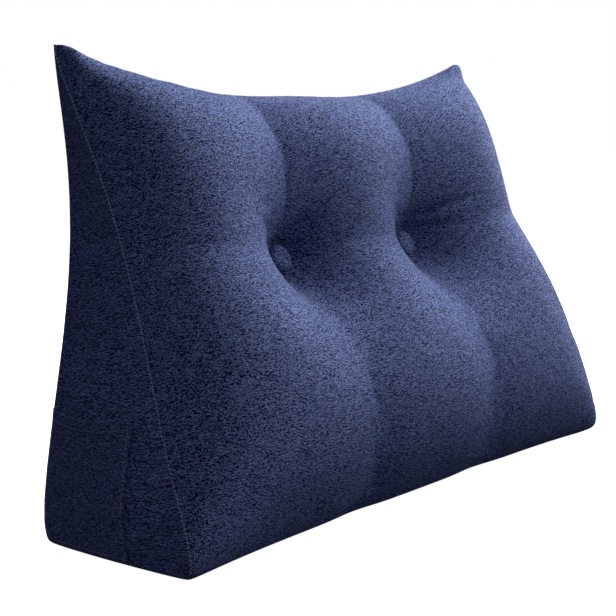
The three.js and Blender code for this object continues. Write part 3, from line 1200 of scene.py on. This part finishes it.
@dataclass
class CushionCover:
    """The filled body's cover: five panels of cloth, sewn into one closed form."""

    form: PillowForm
    cloth: bpy.types.Material
    columns: Sequence[tuple[float, int]] = (
        (0.24, 11), (0.38, 11), (0.94, 26), (0.985, 3), (1.0, 3),
    )
    rows: Sequence[tuple[float, int]] = (
        (0.008, 2), (0.04, 3), (0.51, 33), (0.665, 17), (0.955, 21), (0.992, 4), (1.0, 2),
    )
    through: Sequence[tuple[float, int]] = ((0.01, 1), (0.05, 2), (0.95, 20), (0.99, 2), (1.0, 1))
    groove_depth: float = 0.0007
    groove_reach: float = 0.0020
    button_hold: float = 0.030
    seam_hold: float = 0.003
    filling: Filling = Filling()
    back_puckers: Puckers = Puckers(0.017, 0.0019, 0.006, 0.024, 0.7)
    front_puckers: Puckers = Puckers(0.021, 0.0007, 0.006, 0.020, 2.1)
    edge_puckers: Puckers = Puckers(0.026, 0.0004, 0.008, 0.022, 4.0)
    creases: Sequence[Crease] = (
        Crease((0.128, 0.313), (0.262, 0.324), 0.0030, 0.0045),
        Crease((0.133, 0.306), (0.215, 0.285), 0.0016, 0.0040),
        Crease((-0.109, 0.316), (-0.045, 0.322), 0.0018, 0.0040),
        Crease((0.110, 0.317), (0.055, 0.325), 0.0016, 0.0040),
        Crease((-0.128, 0.313), (-0.205, 0.322), 0.0020, 0.0045),
        Crease((-0.118, 0.322), (-0.113, 0.392), 0.0018, 0.0040),
        Crease((0.120, 0.322), (0.127, 0.388), 0.0018, 0.0040),
        Crease((-0.116, 0.296), (-0.108, 0.235), 0.0014, 0.0040),
        Crease((0.121, 0.296), (0.118, 0.240), 0.0014, 0.0040),
    )
    back_puckers_grow: Fade = Fade(0.17, 0.10)
    back_puckers_calm: Fade = Fade(0.43, 0.05)
    back_puckers_kept: float = 0.25
    front_puckers_grow: Fade = Fade(0.0, 0.03)
    edge_puckers_grow: Fade = Fade(-0.09, 0.05)
    above_base: Fade = Fade(0.0, 0.004)
    stitched: tuple[float, float] = (0.012, 0.985)
    stitched_places: int = 240
    seam_faces: tuple[float, float, float] = (0.70, -0.66, 0.28)
    seam_search: float = 0.03
    stitch_lift: float = 0.0003

    def marks(self, shape: np.ndarray, **known: np.ndarray) -> dict[str, np.ndarray]:
        """Fills in the marks of a panel, with 0 for those that aren't given.

        Args:
            shape: A grid of the panel's shape.
            known: The marks that are given, by name.

        Returns:
            All the marks by name.
        """
        names = ("seam", "hold", "front", "flank", "from_back")
        return {name: known.get(name, np.zeros_like(shape)) for name in names}

    def panels(self) -> list[Panel]:
        """Lays the five panels out as grids.

        Returns:
            The front, the back, the base and the two side panels.
        """
        form = self.form
        across, up = mirrored(spread(self.columns)), spread(self.rows)
        through = spread(self.through)
        u, v = np.meshgrid(across, up, indexing="ij")
        width = form.half_width(v)
        to_side, to_foot = width * (1.0 - np.abs(u)), v * form.front_length
        to_ridge = (1.0 - v) * form.front_length
        seam = np.minimum(np.minimum(to_side, to_foot), to_ridge)
        sewn = bell(seam, self.seam_hold)
        beside = np.abs(np.abs(u) * width - form.button_x)
        to_button = np.hypot(beside, (v - form.button_up) * form.front_length)
        hold = np.maximum(sewn, bell(to_button, self.button_hold))
        front = self.marks(u, seam=seam, hold=hold, front=np.ones_like(u))
        made = [
            Panel(form.front(u, v), front, False),
            Panel(form.back(u, v), self.marks(u, seam=seam, hold=sewn), True),
        ]
        u, w = np.meshgrid(across, through, indexing="ij")
        depth = np.minimum(w, 1.0 - w) * form.foot_depth
        seam = np.minimum(depth, (1.0 - np.abs(u)) * form.foot_half)
        made.append(Panel(form.base(u, w), self.marks(u, seam=seam, hold=np.ones_like(u)), True))
        v, w = np.meshgrid(up, through, indexing="ij")
        for side in Side:
            points = form.side(side, v, w)
            depth = np.abs(points[:, -1, 1] - points[:, 0, 1])[:, None]
            seam = np.minimum(np.minimum(w, 1.0 - w) * depth, v * form.height)
            marks = self.marks(
                v,
                seam=seam,
                hold=bell(seam, self.seam_hold),
                flank=np.full_like(v, float(side.value)),
                from_back=(1.0 - w) * depth,
            )
            made.append(Panel(points, marks, side is Side.RIGHT, upright=True))
        return made

    def fill(self, piece: bpy.types.Object) -> None:
        """Lets the filling press the cover out, held at its seams, its buttons and its base.

        Args:
            piece: The cover.
        """
        filling = self.filling
        mesh = piece.data
        start = vertices_of(mesh)
        hold = attribute_of(mesh, "hold")
        smaller = (filling.start_smaller * (1.0 - hold))[:, None]
        move_vertices(mesh, start - normals_of(mesh) * smaller)
        held = piece.vertex_groups.new(name="held")
        for index in np.flatnonzero(hold > filling.least_hold):
            held.add([int(index)], float(hold[index]), "REPLACE")
        filling.soften(piece.modifiers.new("filling", "CLOTH"), held.name)
        for number in range(1, filling.last_frame + 1):
            bpy.context.scene.frame_set(number)
        graph = bpy.context.evaluated_depsgraph_get()
        settled = vertices_of(piece.evaluated_get(graph).data)
        piece.modifiers.clear()
        piece.vertex_groups.clear()
        bpy.context.scene.frame_set(1)
        move = settled - start
        far = np.maximum(np.linalg.norm(move, axis=1), 1e-9)
        most = filling.most_move
        kept = most * np.tanh(far / most) / far
        LOG.info("filling moved the cloth up to %.1f mm, %.1f mm kept", far.max() / MM, most / MM)
        move_vertices(mesh, start + move * kept[:, None])

    def sculpt(self, piece: bpy.types.Object) -> None:
        """Draws in the seams, and puckers and creases the cloth.

        Args:
            piece: The cover.
        """
        form = self.form
        mesh = piece.data
        points = vertices_of(mesh)
        names = ("seam", "front", "flank", "from_back")
        seam, front, flank, from_back = (attribute_of(mesh, name) for name in names)
        x, z = points[:, 0] - form.shift[0], points[:, 2]
        reach = points - np.array([form.shift[0], form.front_y + form.shift[1], form.seam_lift])
        t = reach[:, 1] * math.sin(form.lean) + reach[:, 2] * math.cos(form.lean)

        lift = -self.groove_depth * bell(seam, self.groove_reach)
        least = self.back_puckers_kept
        high = 1.0 - (1.0 - least) * self.back_puckers_calm.at(z)
        high = least + (1.0 - least) * self.back_puckers_grow.at(z) * high
        lift += np.abs(flank) * high * self.back_puckers.height(z, from_back)
        grown = self.front_puckers_grow.at(t)
        lift += (1.0 - np.abs(flank)) * self.front_puckers.height(z, seam) * grown
        edge = self.edge_puckers_grow.at(t - form.front_length)
        lift += front * edge * self.edge_puckers.height(x, seam)
        for crease in self.creases:
            lift -= front * crease.sink(x, t)
        lift *= self.above_base.at(z)
        points = points + normals_of(mesh) * lift[:, None]
        points[:, 2] = np.maximum(points[:, 2], 0.0)
        move_vertices(mesh, points)

    def seam_lines(self, piece: bpy.types.Object) -> list[np.ndarray]:
        """Finds the lines of stitches in the two front side seams.

        Args:
            piece: The finished cover.

        Returns:
            The points of each line.
        """
        tree = BVHTree.FromObject(piece, bpy.context.evaluated_depsgraph_get())
        up = np.linspace(*self.stitched, self.stitched_places)
        across, forward, upward = self.seam_faces
        lines = []
        for side in Side:
            out = Vector((side.value * across, forward, upward)).normalized()
            line = []
            for point in self.form.front(np.full_like(up, float(side.value)), up):
                start = Vector(point) + out * self.seam_search
                hit = tree.ray_cast(start, -out, 2 * self.seam_search)[0]
                line.append(hit + out * self.stitch_lift if hit else Vector(point))
            lines.append(np.array([tuple(point) for point in line]))
        return lines

    def build(self) -> bpy.types.Object:
        """Returns:
            The cover.
        """
        piece = shape_from_panels("cushion_cover", self.panels())
        self.fill(piece)
        finer = piece.modifiers.new("finer", "SUBSURF")
        finer.levels = finer.render_levels = 1
        finer.boundary_smooth = "PRESERVE_CORNERS"
        plain_mesh(piece)
        self.sculpt(piece)
        piece.data.materials.clear()
        piece.data.materials.append(self.cloth)
        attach(piece, BODY)
        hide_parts("cushion_body")
        return piece


@dataclass
class SidePocket:
    """The patch pocket on the left side panel, sewn down on three edges and hemmed on top."""

    form: PillowForm
    cloth: bpy.types.Material
    cover: bpy.types.Object
    front_top: float = -0.016
    front_foot: float = -0.027
    back_inset: float = 0.008
    foot: float = 0.011
    mouth: float = 0.144
    mouth_back: float = 0.138
    sag: float = 0.006
    ease: float = 0.0030
    gap: float = 0.0004
    thickness: float = 0.0020
    hem: float = 0.013
    hem_rise: float = 0.0009
    stitch_inset: float = 0.0032
    groove: float = 0.0008
    edge_round: float = 0.0010
    width: float = 0.118
    edge_share: float = 0.35
    hem_step: float = 0.0018
    hem_stitch: float = 0.0020
    groove_reach: float = 0.0012
    ripple: float = 0.0006
    ripple_length: float = 0.019
    ripple_lean: float = 3.0
    bridge_rounds: int = 3
    soften_rounds: int = 30
    outside: float = 0.6
    stitched_to: float = 0.995
    stitched_places: int = 60
    stitch_lift: float = 0.0002
    cells: tuple[int, int] = (64, 68)

    @property
    def tall(self) -> float:
        """The pocket's height along its front edge."""
        return self.mouth - self.foot

    def chart(self, a: np.ndarray, b: np.ndarray) -> tuple[np.ndarray, np.ndarray]:
        """Finds places of the pocket on the side panel.

        Args:
            a: Place along the pocket from its front edge, 0 to 1.
            b: Place up the pocket from its foot, 0 to 1.

        Returns:
            Their depth and their height.
        """
        form = self.form
        mouth = self.mouth + (self.mouth_back - self.mouth) * a - self.sag * np.sin(np.pi * a)
        z = self.foot + (mouth - self.foot) * b
        up = (z - form.seam_lift) / (form.height - form.seam_lift)
        back_seam = form.back(np.full_like(up, -1.0), up)[..., 1]
        front = self.front_foot + (self.front_top - self.front_foot) * b + form.shift[1]
        return front + (back_seam - self.back_inset - front) * a, z

    def relief(self, a: np.ndarray, b: np.ndarray) -> np.ndarray:
        """Gives the height of the outer face: its hem, its stitches' grooves and its soft edges.

        Args:
            a: Place along the pocket from its front edge, 0 to 1.
            b: Place up the pocket from its foot, 0 to 1.

        Returns:
            The height over the inner face.
        """
        below_mouth, above_foot = (1.0 - b) * self.tall, b * self.tall
        sewn = np.minimum.reduce([a * self.width, (1.0 - a) * self.width, above_foot])
        rounded = np.sqrt(np.clip(np.minimum(sewn, below_mouth) / self.edge_round, 0.0, 1.0))
        height = self.thickness * (self.edge_share + (1.0 - self.edge_share) * rounded)
        height += self.hem_rise * (1.0 - Fade(self.hem, self.hem_step).at(below_mouth))
        height -= self.groove * bell(sewn - self.stitch_inset, self.groove_reach)
        height -= self.groove * bell(below_mouth - self.hem + self.hem_stitch, self.groove_reach)
        return height

    def surface(self, tree: BVHTree, depth: float, height: float) -> float:
        """Finds a surface on the left, seen from outside.

        Args:
            tree: The surface.
            depth: The place's depth.
            height: The place's height.

        Returns:
            Where it lies across.
        """
        start = Vector((-self.outside, depth, height))
        return tree.ray_cast(start, Vector((1.0, 0.0, 0.0)))[0].x

    def layers(
        self, y: np.ndarray, z: np.ndarray, a: np.ndarray, b: np.ndarray
    ) -> tuple[np.ndarray, np.ndarray]:
        """Lays the pocket's inner and outer faces over the side panel's hollows.

        Args:
            y: Depth of the pocket's places.
            z: Their height.
            a: Place along the pocket from its front edge, 0 to 1.
            b: Place up the pocket from its foot, 0 to 1.

        Returns:
            Where the two faces lie across.
        """
        tree = BVHTree.FromObject(self.cover, bpy.context.evaluated_depsgraph_get())
        under = np.empty_like(y)
        for place in np.ndindex(y.shape):
            under[place] = self.surface(tree, y[place], z[place])
        bridged = under.copy()
        for _ in range(self.bridge_rounds):
            wide = np.pad(bridged, 1, mode="edge")
            sides = (wide[:-2, 1:-1], wide[2:, 1:-1], wide[1:-1, :-2], wide[1:-1, 2:])
            bridged = np.minimum.reduce([bridged, *sides])
        bridged = np.minimum(blurred(bridged, self.soften_rounds), under)
        slack = self.ease * np.sin(np.pi * a) * b**5
        wave = np.sin(2 * np.pi * z / self.ripple_length + self.ripple_lean * a)
        ripple = self.ripple * wave * np.sin(np.pi * a) ** 0.5 * (1 - b**4)
        inner = bridged - self.gap - slack - np.maximum(ripple, 0.0)
        return inner, inner - self.relief(a, b)

    def build(self) -> bpy.types.Object:
        """Makes the pocket.

        Returns:
            The pocket.
        """
        shares = (np.linspace(0.0, 1.0, count + 1) for count in self.cells)
        a, b = np.meshgrid(*shares, indexing="ij")
        y, z = self.chart(a, b)
        wide, tall = y.shape
        bm = bmesh.new()
        chart_layer = bm.loops.layers.uv.new("cloth")
        spots = [
            [
                [bm.verts.new((layer[i, j], y[i, j], z[i, j])) for j in range(tall)]
                for i in range(wide)
            ]
            for layer in self.layers(y, z, a, b)
        ]

        def add_face(corners: list[tuple[int, int, int]]) -> None:
            """Adds one face.

            Args:
                corners: The layer, along and up numbers of each corner.
            """
            face = bm.faces.new([spots[k][i][j] for k, i, j in corners])
            face.smooth = True
            for loop, (_, i, j) in zip(face.loops, corners):
                loop[chart_layer].uv = (y[i, j] - self.form.shift[1], z[i, j])

        for i in range(wide - 1):
            for j in range(tall - 1):
                add_face([(0, i, j), (0, i + 1, j), (0, i + 1, j + 1), (0, i, j + 1)])
                add_face([(1, i, j + 1), (1, i + 1, j + 1), (1, i + 1, j), (1, i, j)])
        rim = [(i, 0) for i in range(wide - 1)] + [(wide - 1, j) for j in range(tall - 1)]
        rim += [(i, tall - 1) for i in range(wide - 1, 0, -1)]
        rim += [(0, j) for j in range(tall - 1, 0, -1)]
        for (i, j), (m, n) in zip(rim, rim[1:] + rim[:1]):
            add_face([(0, m, n), (0, i, j), (1, i, j), (1, m, n)])
        bmesh.ops.recalc_face_normals(bm, faces=bm.faces)
        return piece_from("patch_pocket", bm, self.cloth)

    def declare(self, piece: bpy.types.Object) -> None:
        """Args:
            piece: The pocket.
        """
        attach(piece, BODY)
        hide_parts("side_pocket")

    def stitch_lines(self, piece: bpy.types.Object) -> list[np.ndarray]:
        """Finds the lines of stitches: down the front, along the foot, up the back, and the hem.

        Args:
            piece: The finished pocket.

        Returns:
            The points of each line.
        """
        tree = BVHTree.FromObject(piece, bpy.context.evaluated_depsgraph_get())
        near_a, near_b = self.stitch_inset / self.width, self.stitch_inset / self.tall
        hem = 1.0 - (self.hem - self.hem_stitch) / self.tall
        far_a, far_b = 1.0 - near_a, self.stitched_to
        runs = (
            ((near_a, far_b), (near_a, near_b)),
            ((near_a, near_b), (far_a, near_b)),
            ((far_a, near_b), (far_a, far_b)),
            ((near_a, hem), (far_a, hem)),
        )
        share = np.linspace(0.0, 1.0, self.stitched_places)
        lines = []
        for (a0, b0), (a1, b1) in runs:
            places = zip(*self.chart(a0 + (a1 - a0) * share, b0 + (b1 - b0) * share))
            lines.append(np.array([
                (self.surface(tree, depth, height) - self.stitch_lift, depth, height)
                for depth, height in places
            ]))
        return lines


@dataclass
class CoveredButton:
    """A domed button covered in cloth, drawn into the front."""

    form: PillowForm
    cloth: bpy.types.Material
    side: Side
    radius: float = 0.0155
    height: float = 0.0092
    lift: float = 0.0028
    back_share: float = 0.86
    rim_share: float = 0.32
    roundness: float = 0.7
    pleats: int = 18
    pleat_depth: float = 0.0005
    pleat_fade: float = 3.0
    seat_places: int = 24
    around: int = 96
    rings: int = 26

    def seat(self) -> tuple[np.ndarray, np.ndarray]:
        """Finds where the button sits.

        Returns:
            The middle of its flat back, and the way it faces.
        """
        form = self.form
        turns = np.linspace(0.0, 2 * np.pi, self.seat_places, endpoint=False)
        radii = np.array([0.0, 0.5, 1.0])[:, None] * self.radius
        up = form.button_up + radii * np.sin(turns) / form.front_length
        x = self.side.value * form.button_x + radii * np.cos(turns)
        highest = form.front_crown(x / form.half_width(up), up).max()
        middle = np.array([self.side.value * form.button_x / form.half_width(form.button_up)])
        level = np.array([form.button_up])
        crown = form.front_crown(middle, level)[0]
        point = form.front(middle, level)[0] + form.outward * (highest - crown + self.lift)
        return point, form.outward

    def profile(self) -> list[tuple[float, float, float]]:
        """Lays out the button's outline, from the middle of its flat back to its top.

        Returns:
            Each ring's radius, its height and how much the cloth is gathered there.
        """
        rim = self.height * self.rim_share
        rings = [(0.0, 0.0, 0.0), (self.radius * self.back_share, 0.0, 1.0)]
        for i in range(self.rings + 1):
            turn = i / self.rings * np.pi / 2
            rings.append((
                self.radius * np.cos(turn) ** self.roundness if i < self.rings else 0.0,
                rim + (self.height - rim) * np.sin(turn),
                max(0.0, 1.0 - self.pleat_fade * i / self.rings),
            ))
        return rings

    def build(self) -> bpy.types.Object:
        """Returns:
            The button.
        """
        origin, facing = self.seat()
        right = np.array([1.0, 0.0, 0.0])
        level = np.cross(facing, right)
        bm = bmesh.new()
        chart_layer = bm.loops.layers.uv.new("cloth")
        profile = self.profile()
        loops = []
        for radius, lift, gathered in profile:
            ring = []
            for k in range(self.around):
                angle = 2 * np.pi * k / self.around
                fold = self.pleat_depth * gathered * abs(math.cos(self.pleats * angle / 2))
                reach = radius - fold if radius > 0 else 0.0
                flat = reach * (math.cos(angle) * right + math.sin(angle) * level)
                ring.append(bm.verts.new(origin + flat + facing * lift))
            loops.append(ring)
        steps = [math.dist(near[:2], far[:2]) for near, far in zip(profile, profile[1:])]
        arc = np.cumsum([0.0] + steps)
        for i in range(len(loops) - 1):
            for k in range(self.around):
                n = (k + 1) % self.around
                face = bm.faces.new([loops[i][k], loops[i][n], loops[i + 1][n], loops[i + 1][k]])
                face.smooth = True
                places = ((i, k), (i, k + 1), (i + 1, k + 1), (i + 1, k))
                for loop, (ring, spoke) in zip(face.loops, places):
                    angle = 2 * np.pi * spoke / self.around
                    out = arc[-1] - arc[ring]
                    loop[chart_layer].uv = (out * math.cos(angle), out * math.sin(angle))
        bmesh.ops.remove_doubles(bm, verts=bm.verts, dist=1e-6)
        bmesh.ops.recalc_face_normals(bm, faces=bm.faces)
        piece = piece_from(f"covered_button_{self.side.name.lower()}", bm, self.cloth)
        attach(piece, BODY)
        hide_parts(f"tuft_button_{self.side.name.lower()}")
        return piece


@dataclass(frozen=True)
class Lamp:
    """A square soft light that faces the pillow, placed by its direction."""

    name: str
    azimuth: float
    elevation: float
    distance: float
    size: float
    watts: float
    color: tuple[float, float, float] = (1.0, 0.985, 0.955)

    def hang(self, target: Vector) -> None:
        """Adds the light to the scene.

        Args:
            target: The place it faces.
        """
        data = bpy.data.lights.new(self.name, "AREA")
        data.size = self.size
        data.energy = self.watts
        data.color = self.color
        lamp = placed_object(self.name, data)
        toward = direction(self.azimuth, self.elevation)
        lamp.location = target + toward * self.distance
        look_from(lamp, toward)


def direction(azimuth: float, elevation: float) -> Vector:
    """Finds the way towards a place.

    Args:
        azimuth: Degrees round from the front.
        elevation: Degrees up from the level.

    Returns:
        The way, one unit long.
    """
    turn, tilt = math.radians(azimuth), math.radians(elevation)
    level = math.cos(tilt)
    return Vector((math.sin(turn) * level, -math.cos(turn) * level, math.sin(tilt)))


def look_from(thing: bpy.types.Object, toward: Vector) -> None:
    """Turns a light or a camera so that it looks back from a place.

    Args:
        thing: The light or camera.
        toward: The way from what it looks at to the place.
    """
    thing.rotation_mode = "QUATERNION"
    thing.rotation_quaternion = (-toward).to_track_quat("-Z", "Y")


@dataclass
class Studio:
    """A plain pale floor, soft lights and a camera at the photograph's viewing angle."""

    shift: tuple[float, float]
    azimuth: float = -52.0
    elevation: float = 7.8
    camera_place: tuple[float, float, float] = (-1.292, -0.929, 0.420)
    focal_px: float = 1412.1
    frame_px: float = 616.0
    sensor: float = 36.0
    room_light: float = 0.062
    room_color: tuple[float, float, float] = (0.80, 0.86, 1.15)
    backdrop_light: float = 1.0
    floor_size: float = 12.0
    floor_glow: float = 1.0
    floor_grain: float = 3.0
    floor_tones: tuple[float, float] = (0.84, 0.88)
    floor_roughness: float = 0.9
    lamps_face: tuple[float, float, float] = (0.0, 0.0, 0.2)
    lamps: Sequence[Lamp] = (
        Lamp("key_light", 60.0, 30.0, 2.6, 0.8, 17.5),
        Lamp("front_light", 45.0, 35.0, 2.6, 0.8, 5.8),
        Lamp("side_light", 75.0, 35.0, 2.6, 0.8, 14.5),
        Lamp("edge_light", 92.0, 20.0, 2.6, 0.8, 58.0),
        Lamp("top_light", 120.0, 60.0, 2.6, 0.8, 34.0),
        Lamp("over_light", 0.0, 75.0, 2.6, 0.8, 4.5),
        Lamp("fill_light", -70.0, 35.0, 2.6, 1.2, 1.6),
    )

    def camera(self) -> None:
        """Sets the camera up."""
        data = bpy.data.cameras.new("camera")
        data.sensor_width = self.sensor
        data.lens = self.focal_px / self.frame_px * self.sensor
        camera = placed_object("camera", data)
        look_from(camera, direction(self.azimuth, self.elevation))
        x, y, z = self.camera_place
        camera.location = (x + self.shift[0], y + self.shift[1], z)
        bpy.context.scene.camera = camera

    def floor(self) -> None:
        """Lays the floor, which glows so that it stays pale to its far end."""
        bm = bmesh.new()
        bmesh.ops.create_grid(bm, x_segments=1, y_segments=1, size=self.floor_size)
        paint, bench, shader = new_material("pale_floor")
        grain = bench.add("ShaderNodeTexNoise")
        bench.feed(grain.inputs["Vector"], bench.add("ShaderNodeTexCoord").outputs["Object"])
        bench.feed(grain.inputs["Scale"], self.floor_grain)
        pale, paler = ((tone, tone, tone, 1.0) for tone in self.floor_tones)
        bench.feed(shader.inputs["Base Color"], bench.mix(grain.outputs[0], pale, paler))
        shader.inputs["Roughness"].default_value = self.floor_roughness
        shader.inputs["Specular IOR Level"].default_value = 0.0
        shader.inputs["Emission Color"].default_value = (1.0, 1.0, 1.0, 1.0)
        shader.inputs["Emission Strength"].default_value = self.floor_glow
        floor = piece_from("floor", bm, paint)
        floor.visible_diffuse = False
        floor.visible_glossy = False

    def room(self) -> None:
        """Sets the room's own faint light and its white backdrop."""
        world = bpy.data.worlds.new("room")
        bpy.context.scene.world = world
        world.use_nodes = True
        bench = Bench(world.node_tree)
        sky = world.node_tree.nodes["Background"]
        seen = bench.add("ShaderNodeLightPath").outputs["Is Camera Ray"]
        tone = bench.mix(seen, (*self.room_color, 1.0), (1.0, 1.0, 1.0, 1.0))
        bench.feed(sky.inputs["Color"], tone)
        lift = self.backdrop_light - self.room_light
        bench.feed(sky.inputs["Strength"], bench.math("MULTIPLY_ADD", seen, lift, self.room_light))

    def build(self) -> None:
        """Sets the studio up."""
        self.camera()
        self.floor()
        self.room()
        for lamp in self.lamps:
            lamp.hang(Vector(self.lamps_face))
        bpy.context.scene.view_settings.view_transform = "Standard"


def main() -> None:
    """Builds the pillow and its studio, piece by piece."""
    logging.basicConfig(level=logging.INFO, format="%(message)s")
    form = PillowForm()
    weave = weave_group()
    cover_cloth = MelangeCloth("cover_cloth", weave).material()
    button_cloth = MelangeCloth("button_cloth", weave).material()
    pocket_cloth = MelangeCloth("pocket_cloth", weave, calm=0.22).material()
    thread = SewingThread().material()
    sewing = stitch_tree()

    body = CushionCover(form, cover_cloth)
    cover = body.build()
    seams = StitchRuns("seam_stitches", sewing, thread, "cover_cloth").build(body.seam_lines(cover))
    pocket = SidePocket(form, pocket_cloth, cover)
    patch = pocket.build()
    runs = StitchRuns("pocket_stitches", sewing, thread, "pocket_cloth", radius=0.00036)
    hems = runs.build(pocket.stitch_lines(patch))
    pocket.declare(patch)
    buttons = [CoveredButton(form, button_cloth, side).build() for side in Side]
    Studio(form.shift).build()
    for piece in [cover, seams, patch, hems, *buttons]:
        LOG.info("%s: %d faces", piece.name, len(piece.data.polygons))


if __name__ == "__main__":
    main()
